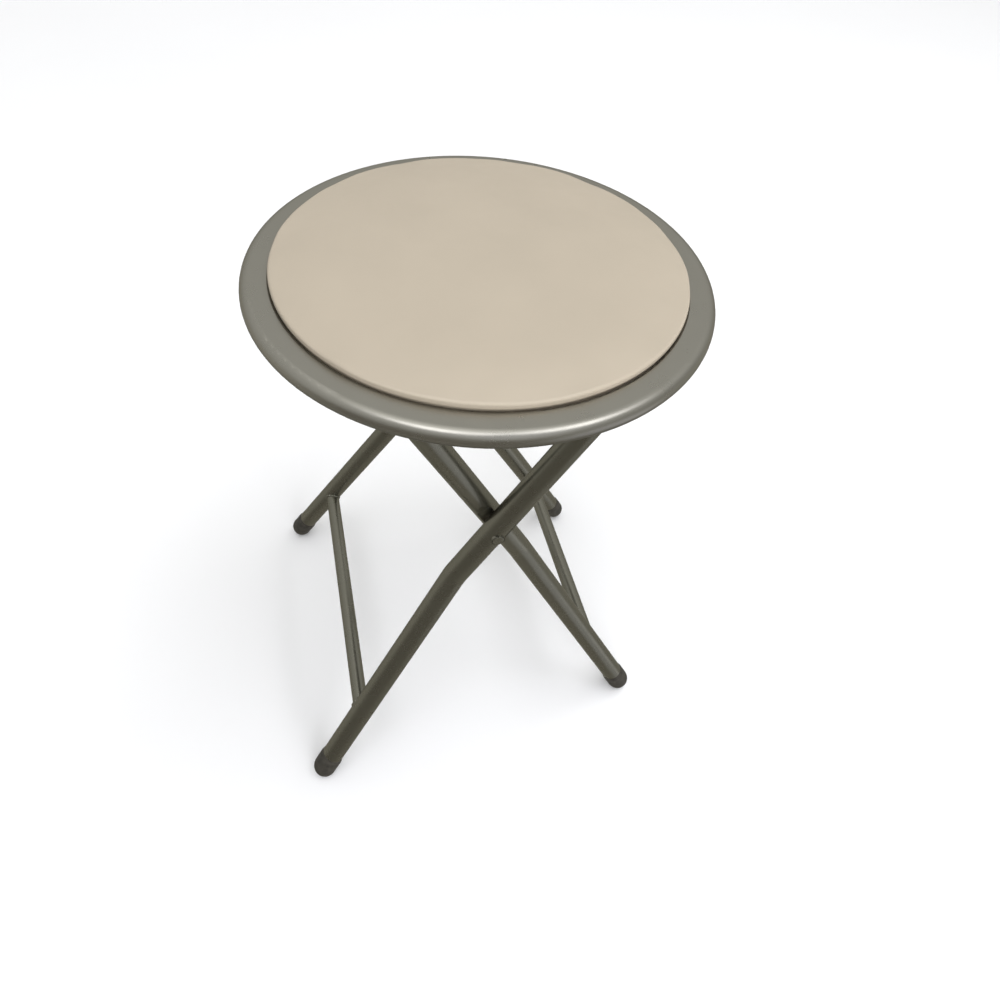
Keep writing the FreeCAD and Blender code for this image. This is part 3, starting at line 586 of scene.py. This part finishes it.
def cushion_rings(settings):
    """Radius and height of each ring of the slack pad, from its foot to its crown."""
    side = COVER_HIGH.x - settings.drawn_in
    foot = COVER_LOW.z
    neck = foot + settings.neck_height
    overhang, lower = settings.overhang, settings.lower_radius
    widest = side + overhang
    rings = [(side * share, foot) for share in FOOT_SHARES]
    rings += [(side, foot + (neck - foot) * share) for share in SIDE_SHARES]
    rings += [(side + overhang * share, neck + height) for share, height in NECK_CORNER]
    rings += round_corner(widest, neck + lower, lower, LOWER_ANGLES)
    top = neck + lower + settings.upright
    rings += [(widest, top - settings.upright * share) for share in UPRIGHT_SHARES]
    rings += round_corner(widest, top, settings.edge_radius, UPPER_ANGLES)
    edge_radius, edge_height = rings[-1]
    rise = COVER_HIGH.z - settings.slack - edge_height
    for step in range(1, settings.crown_rings):
        share = 1.0 - step / settings.crown_rings
        rings.append((edge_radius * share, edge_height + rise * (1.0 - share ** 2)))
    return rings


def fill_with_air(pad, settings):
    """Fills the pad by cloth pressure with its side held, and evens the filling out."""
    held = pad.vertex_groups.new(name="held")
    held_below = COVER_LOW.z + settings.neck_height
    held.add([v.index for v in pad.data.vertices if v.co.z < held_below], 1.0, "REPLACE")
    slack_form = [v.co.copy() for v in pad.data.vertices]
    cloth = pad.modifiers.new("Filling", "CLOTH")
    cloth.settings.quality = 4
    cloth.settings.tension_stiffness = 60.0
    cloth.settings.compression_stiffness = 60.0
    cloth.settings.shear_stiffness = 40.0
    cloth.settings.bending_stiffness = 20.0
    cloth.settings.vertex_group_mass = held.name
    cloth.settings.use_pressure = True
    cloth.settings.uniform_pressure_force = settings.pressure
    cloth.settings.effector_weights.gravity = 0.0
    cloth.point_cache.frame_start = 1
    cloth.point_cache.frame_end = settings.fill_frames
    scene = bpy.context.scene
    for step in range(1, settings.fill_frames + 1):
        scene.frame_set(step)
    apply_modifiers(pad)
    scene.frame_set(1)
    pad.vertex_groups.clear()
    even_out(pad, slack_form, settings)
    level_crown(pad, settings)


def even_out(pad, slack_form, settings):
    """Eases each point's travel from the slack form, and brings it near to its ring's mean."""
    rings = {}
    for vertex, start in zip(pad.data.vertices, slack_form):
        travel = vertex.co - start
        eased = math.tanh(travel.length / settings.swell) * settings.swell
        eased /= max(travel.length, 1e-9)
        out = travel.xy.dot(start.xy.normalized()) * eased
        ring = round(start.xy.length, 5), round(start.z, 5)
        rings.setdefault(ring, []).append((vertex, start, out, travel.z * eased))
    for points in rings.values():
        mean_out = sum(point[2] for point in points) / len(points)
        mean_up = sum(point[3] for point in points) / len(points)
        for vertex, start, out, up in points:
            out = mean_out + (out - mean_out) * settings.unevenness
            up = mean_up + (up - mean_up) * settings.unevenness
            vertex.co = start + Vector((*(start.xy.normalized() * out), up))


def level_crown(pad, settings):
    """Lifts what hangs low in the crown's middle."""
    neck = COVER_LOW.z + settings.neck_height
    reach = settings.level_reach
    middle = [v for v in pad.data.vertices if v.co.z > neck and v.co.xy.length < reach]
    level = max(v.co.z for v in middle)
    for vertex in middle:
        lowest = level - settings.level_dip * (vertex.co.xy.length / reach) ** 2
        vertex.co.z = max(vertex.co.z, lowest)


class STOOL_OT_cushion(bpy.types.Operator):
    """Make the padded seat: a slack round form filled by cloth pressure, with room for its board"""

    bl_idname = "stool.cushion"
    bl_label = "Cushion"

    def execute(self, context):
        settings = context.scene.stool_cushion
        pad = round_body("seat_cushion", cushion_rings(settings), settings.segments)
        fill_with_air(pad, settings)
        self.gather_edge(pad, settings)
        finer = pad.modifiers.new("Finer", "SUBSURF")
        finer.levels = 1
        finer.render_levels = 1
        apply_modifiers(pad)
        self.make_room(pad, settings)
        dress(pad, vinyl_cover("seat_vinyl", settings.vinyl))
        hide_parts("seat_cover", "seat_foam")
        settle(pad, "seat")
        return {"FINISHED"}

    def gather_edge(self, pad, settings):
        """Draws the cover in by a hair at uneven places along the round edge."""
        neck = COVER_LOW.z + settings.neck_height
        for vertex in pad.data.vertices:
            reach = math.hypot(vertex.co.x, vertex.co.y)
            near = max(0.0, 1.0 - abs(reach - COVER_HIGH.x) / settings.pucker_reach)
            if vertex.co.z > neck and near > 0.0:
                turn = math.atan2(vertex.co.y, vertex.co.x)
                wave = sum(deep * math.sin(waves * turn + start) for waves, start, deep in GATHERS)
                vertex.co *= 1.0 - settings.pucker * wave * near / COVER_HIGH.x

    def make_room(self, pad, settings):
        """Cuts the board's room out of the pad, open below inside the hem."""
        room = BOARD_HIGH.x + settings.skin
        opening = COVER_HIGH.x - settings.drawn_in - settings.hem
        floor = BOARD_LOW.z - settings.skin
        rings = [
            (opening, COVER_LOW.z - settings.hem), (opening, floor), (room, floor),
            (room, BOARD_HIGH.z + settings.skin),
        ]
        cut_out(pad, round_body("board_room", rings, settings.room_segments))
        select_only(pad)
        self.clear_slivers(settings)
        bpy.ops.object.shade_smooth_by_angle(angle=CUSHION_CREASE)

    def clear_slivers(self, settings):
        """Splits the many-sided faces that the cut leaves, and takes away those with no area."""
        bpy.ops.object.mode_set(mode="EDIT")
        bpy.ops.mesh.select_all(action="SELECT")
        bpy.ops.mesh.remove_doubles(threshold=settings.sliver)
        bpy.ops.mesh.select_face_by_sides(number=4, type="GREATER", extend=False)
        bpy.ops.mesh.quads_convert_to_tris(ngon_method="BEAUTY")
        bpy.ops.mesh.select_all(action="SELECT")
        bpy.ops.mesh.dissolve_degenerate(threshold=settings.sliver)
        bpy.ops.object.mode_set(mode="OBJECT")


class STOOL_OT_welds(bpy.types.Operator):
    """Run a rippled weld bead around each end of the two cross tubes"""

    bl_idname = "stool.welds"
    bl_label = "Weld beads"

    def execute(self, context):
        settings = context.scene.stool_fixing
        paint = bpy.data.materials["leg_enamel"]
        for name, splay, lean_sign in (
            ("outer", settings.outer_splay, 1.0), ("inner", settings.inner_splay, -1.0)
        ):
            for side, sign in SIDES:
                bead = self.weld_bead(settings, f"{name}_stretcher", splay, lean_sign, sign)
                bead.name = f"{name}_weld_{side}"
                dress(bead, paint)
                settle(bead, f"{name}_frame")
        return {"FINISHED"}

    def weld_bead(self, settings, stretcher, splay, lean_sign, sign):
        """A ring of weld metal that follows the curve where a cross tube meets a leg tube."""
        low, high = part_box(stretcher)
        middle = (low + high) / 2
        tube = (high.z - low.z) / 2
        pivot, hinge = (Vector(joint["pos_m"]) for joint in frame["joints"])
        leg_lean = math.atan2(hinge.x, hinge.z - pivot.z) * lean_sign
        across = Vector((math.cos(leg_lean), 0.0, -math.sin(leg_lean)))
        along = Vector((math.sin(leg_lean), 0.0, math.cos(leg_lean)))
        clear_selection()
        bpy.ops.mesh.primitive_torus_add(
            major_segments=settings.bead_segments, minor_segments=settings.bead_sides,
            major_radius=tube, minor_radius=settings.bead_radius,
        )
        bead = bpy.context.object
        leg = high.y + math.sqrt(settings.leg_radius ** 2 - tube ** 2) / math.cos(splay)
        for vertex in bead.data.vertices:
            turn = math.atan2(vertex.co.y, vertex.co.x)
            side, up = tube * math.cos(turn), tube * math.sin(turn)
            wave = math.sin(settings.ripples * turn + sign)
            wave += settings.wave * math.sin(settings.waves * turn + 2.0 * lean_sign)
            swell = 1.0 + settings.ripple * wave
            thick = (math.hypot(vertex.co.x, vertex.co.y) - tube) * swell
            depth = leg - up * math.tan(splay)
            depth -= math.sqrt(settings.leg_radius ** 2 - side ** 2) / math.cos(splay)
            depth += vertex.co.z * swell
            place = across * (side + thick * math.cos(turn))
            place += along * (up + thick * math.sin(turn))
            vertex.co = Vector((middle.x, sign * depth, middle.z)) + place
        select_only(bead)
        bpy.ops.object.mode_set(mode="EDIT")
        face_outwards()
        bpy.ops.object.shade_smooth()
        return bead


class STOOL_OT_rivets(bpy.types.Operator):
    """Make the two pivot rivets: a flat head set into the leg, a shank and a clinched end"""

    bl_idname = "stool.rivets"
    bl_label = "Pivot rivets"

    def execute(self, context):
        settings = context.scene.stool_fixing
        paint = bpy.data.materials["leg_enamel"]
        for side, sign in SIDES:
            low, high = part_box(f"pivot_rivet_{side}")
            middle = (low + high) / 2
            reach = high.y - low.y
            rings = self.rings(settings, (high.x - low.x) / 2, reach)
            rivet = round_body(f"rivet_{side}", rings, settings.rivet_segments)
            select_only(rivet)
            inner_end = Vector((middle.x, middle.y - sign * reach / 2, middle.z))
            outwards = Matrix.Rotation(-sign * math.pi / 2, 4, "X")
            rivet.matrix_world = Matrix.Translation(inner_end) @ outwards
            fix_place()
            bpy.ops.object.shade_smooth_by_angle(angle=FIXING_CREASE)
            dress(rivet, paint)
            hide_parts(f"pivot_rivet_{side}")
            settle(rivet, "outer_frame")
        return {"FINISHED"}

    def rings(self, settings, head, reach):
        """Radius and height of each ring of a rivet, from its clinched end to its head."""
        shank, clinch = settings.shank_radius, settings.clinch
        tube = reach - settings.head_height
        foot = tube - settings.skirt
        rings = [(shank * share, height) for share, height in RIVET_CLINCH]
        rings += [(rings[-1][0], clinch - settings.edge_break / 2), (shank, clinch), (shank, foot)]
        rings += [(head * RIVET_FOOT, foot), (head, foot + settings.edge_break)]
        for share, height in RIVET_RING + RIVET_GROOVE + RIVET_DISC:
            rings.append((head * share, tube + height))
        return rings


class STOOL_OT_screws(bpy.types.Operator):
    """Make the eight screws under the seat, each with a cross slot and a ridged shank"""

    bl_idname = "stool.screws"
    bl_label = "Screws"

    def execute(self, context):
        settings = context.scene.stool_fixing
        plating = bpy.data.materials["pivot_plating"]
        inset = settings.screw_head_radius
        for name in ("hinge_screws", "catch_screws"):
            low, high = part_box(name)
            model = self.one_screw(settings, high.z - low.z)
            columns, rows = (low.x + inset, high.x - inset), (low.y + inset, high.y - inset)
            clear_selection()
            for number, (x, y) in enumerate((x, y) for x in columns for y in rows):
                turn = settings.first_turn + settings.next_turn * number
                copy = model.copy()
                copy.data = model.data.copy()
                context.collection.objects.link(copy)
                copy.matrix_world = (
                    Matrix.Translation((x, y, low.z)) @ Matrix.Rotation(turn, 4, "Z")
                )
                copy.select_set(True)
                context.view_layer.objects.active = copy
            bpy.data.objects.remove(model)
            fix_place()
            bpy.ops.object.join()
            fix_place()
            group = context.object
            group.name = f"{name}_slotted"
            dress(group, plating)
            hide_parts(name)
            settle(group, "seat")
        return {"FINISHED"}

    def one_screw(self, settings, reach):
        """A screw that stands on its head's top, with a ridged shank and the slot cut in."""
        head, tall = settings.screw_head_radius, settings.screw_head_height
        shank, pitch = settings.screw_radius, settings.screw_pitch
        rings = [(head * share, tall * depth) for share, depth in SCREW_HEAD]
        rings.append((shank * SCREW_NECK, tall))
        height = tall + pitch
        while height < reach - settings.screw_point:
            rings += [(shank * SCREW_GROOVE, height - pitch * GROOVE_BACK), (shank, height)]
            height += pitch / 2
        rings += [(shank * SCREW_CONE, reach - settings.screw_tip), (shank * SCREW_TIP, reach)]
        screw = round_body("screw", rings, settings.screw_segments)
        long_side, short_side = 2 * settings.slot_reach, settings.slot_width
        for width, depth in ((long_side, short_side), (short_side, long_side)):
            clear_selection()
            bpy.ops.mesh.primitive_cube_add(size=1.0, location=(0, 0, tall * CUTTER_MIDDLE))
            cutter = bpy.context.object
            cutter.scale = (width, depth, tall * CUTTER_HEIGHT)
            fix_place()
            cut_out(screw, cutter)
        select_only(screw)
        bpy.ops.object.shade_smooth_by_angle(angle=FIXING_CREASE)
        return screw


def soft_box(name, place, size, watts):
    """A large light that looks at the seat, and that neither camera nor polished pieces show."""
    bpy.ops.object.light_add(type="AREA", location=place)
    light = bpy.context.object
    light.name = name
    light.data.shape = "RECTANGLE"
    light.data.size, light.data.size_y = size
    light.data.energy = watts
    light.rotation_euler = (SEAT_MIDDLE - Vector(place)).to_track_quat("-Z", "Y").to_euler()
    light.visible_glossy = False
    light.visible_camera = False


class Surround:
    """The world's node tree under construction: colours by direction."""

    def __init__(self, name):
        self.world = bpy.data.worlds.new(name)
        self.world.use_nodes = True
        self.tree = self.world.node_tree
        self.tree.nodes.clear()
        self.direction = self.tree.nodes.new("ShaderNodeTexCoord").outputs["Generated"]

    def axes(self):
        """How far each direction points sideways, back and up."""
        parts = self.tree.nodes.new("ShaderNodeSeparateXYZ")
        self.tree.links.new(self.direction, parts.inputs["Vector"])
        return [parts.outputs[axis] for axis in "XYZ"]

    def toward(self, heading, up):
        """How nearly each direction points to a heading and height in degrees: one is at it."""
        heading, up = math.radians(heading), math.radians(up)
        facing = self.tree.nodes.new("ShaderNodeVectorMath")
        facing.operation = "DOT_PRODUCT"
        facing.inputs[1].default_value = (
            math.cos(up) * math.cos(heading), math.cos(up) * math.sin(heading), math.sin(up)
        )
        self.tree.links.new(self.direction, facing.inputs[0])
        return facing.outputs["Value"]

    def rise(self, value, low, high):
        """A smooth step from nought to one as a value climbs between two limits."""
        step = self.tree.nodes.new("ShaderNodeMapRange")
        step.interpolation_type = "SMOOTHSTEP"
        step.inputs["From Min"].default_value = low
        step.inputs["From Max"].default_value = high
        self.tree.links.new(value, step.inputs["Value"])
        return step.outputs["Result"]

    def blend(self, share, low, high):
        """A colour between two others, each of them fixed or linked."""
        made = self.tree.nodes.new("ShaderNodeMix")
        made.data_type = "RGBA"
        sockets = {socket.identifier: socket for socket in made.inputs}
        self.tree.links.new(share, sockets["Factor_Float"])
        for name, value in (("A_Color", low), ("B_Color", high)):
            if isinstance(value, bpy.types.NodeSocket):
                self.tree.links.new(value, sockets[name])
            else:
                sockets[name].default_value = (*value, 1.0)
        return made.outputs[2]

    def close(self, whole, backdrop):
        """Lights the scene by the whole, and shows the camera a plain backdrop."""
        new, link = self.tree.nodes.new, self.tree.links.new
        lit, seen = new("ShaderNodeBackground"), new("ShaderNodeBackground")
        link(whole, lit.inputs["Color"])
        seen.inputs["Color"].default_value = (*backdrop, 1.0)
        choice = new("ShaderNodeMixShader")
        link(new("ShaderNodeLightPath").outputs["Is Camera Ray"], choice.inputs["Fac"])
        link(lit.outputs["Background"], choice.inputs[1])
        link(seen.outputs["Background"], choice.inputs[2])
        link(choice.outputs["Shader"], new("ShaderNodeOutputWorld").inputs["Surface"])


class STOOL_OT_stage(bpy.types.Operator):
    """Set the floor, the soft studio light and the camera"""

    bl_idname = "stool.stage"
    bl_label = "Stage"

    def execute(self, context):
        settings = context.scene.stool_stage
        self.lay_floor(settings)
        self.set_surround(context, settings)
        for name, place, size, setting in SOFT_BOXES:
            soft_box(name, place, size, getattr(settings, setting))
        context.scene.view_settings.view_transform = "Standard"
        self.set_camera(context, settings)
        return {"FINISHED"}

    def lay_floor(self, settings):
        """A wide pale floor."""
        clear_selection()
        bpy.ops.mesh.primitive_circle_add(
            vertices=settings.floor_segments, radius=settings.floor_radius, fill_type="NGON",
            location=(0, 0, 0),
        )
        floor = bpy.context.object
        floor.name = "studio_floor"
        paint = Finish("floor_paint", settings.floor, roughness=0.6)
        paint.tint(paint.noise(3.0, detail=3.0), darker=0.995, lighter=1.005)
        dress(floor, paint.material)
        floor.visible_glossy = False

    def set_surround(self, context, settings):
        """A soft surround, dull below and bright above, with pools of light."""
        room = Surround("studio_surround")
        side, depth, height = room.axes()
        near = room.rise(height, *NEAR_BAND)
        ground = room.blend(near, settings.near_floor, settings.dull_floor)
        ground = room.blend(room.rise(side, *SIDE_BAND), ground, settings.side_floor)
        ground = room.blend(room.rise(depth, *REAR_BAND), ground, settings.lit_floor)
        behind = room.rise(room.toward(settings.behind, 0), *BEHIND_BAND)
        level = room.blend(behind, settings.horizon, settings.lit_horizon)
        whole = room.blend(room.rise(height, *LEVEL_BAND), ground, level)
        whole = room.blend(room.rise(height, *SKY_BAND), whole, settings.sky)
        whole = room.blend(room.rise(height, *ZENITH_BAND), whole, settings.zenith)
        for setting, heading, up, core, edge in POOLS:
            limits = math.cos(math.radians(edge)), math.cos(math.radians(core))
            share = room.rise(room.toward(heading, up), *limits)
            whole = room.blend(share, whole, POOL_TINT * getattr(settings, setting))
        room.close(whole, settings.backdrop)
        context.scene.world = room.world

    def set_camera(self, context, settings):
        """The camera at the photograph's place."""
        heading, dip, roll = (math.radians(angle) for angle in settings.turn)
        bpy.ops.object.camera_add()
        camera = context.object
        camera.name = "photo_camera"
        camera.matrix_world = (
            Matrix.Translation(settings.eye)
            @ Matrix.Rotation(-heading, 4, "Z")
            @ Matrix.Rotation(math.pi / 2 - dip, 4, "X")
            @ Matrix.Rotation(-roll, 4, "Z")
        )
        camera.data.sensor_width = settings.sensor
        camera.data.lens = settings.lens
        camera.data.shift_x, camera.data.shift_y = settings.shift
        context.scene.camera = camera


class STOOL_PT_sidebar(bpy.types.Panel):
    """The stool's operators"""

    bl_idname = "STOOL_PT_sidebar"
    bl_label = "Folding stool"
    bl_space_type = "VIEW_3D"
    bl_region_type = "UI"
    bl_category = "Stool"

    def draw(self, context):
        for operator in OPERATORS:
            self.layout.operator(operator.bl_idname)


GROUPS = {
    "stool_cushion": StoolCushionSettings,
    "stool_finish": StoolFinishSettings,
    "stool_fixing": StoolFixingSettings,
    "stool_stage": StoolStageSettings,
}
OPERATORS = (
    STOOL_OT_finishes, STOOL_OT_cushion, STOOL_OT_welds, STOOL_OT_rivets, STOOL_OT_screws,
    STOOL_OT_stage,
)
CLASSES = (*GROUPS.values(), *OPERATORS, STOOL_PT_sidebar)


def register():
    """Makes the settings, operators and panel known."""
    for cls in CLASSES:
        bpy.utils.register_class(cls)
    for name, group in GROUPS.items():
        setattr(bpy.types.Scene, name, PointerProperty(type=group))


def unregister():
    """Takes them away again."""
    for name in GROUPS:
        delattr(bpy.types.Scene, name)
    for cls in reversed(CLASSES):
        bpy.utils.unregister_class(cls)


def main():
    """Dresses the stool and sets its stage."""
    register()
    bpy.ops.stool.finishes()
    bpy.ops.stool.cushion()
    bpy.ops.stool.welds()
    bpy.ops.stool.rivets()
    bpy.ops.stool.screws()
    bpy.ops.stool.stage()


if __name__ == "__main__":
    main()
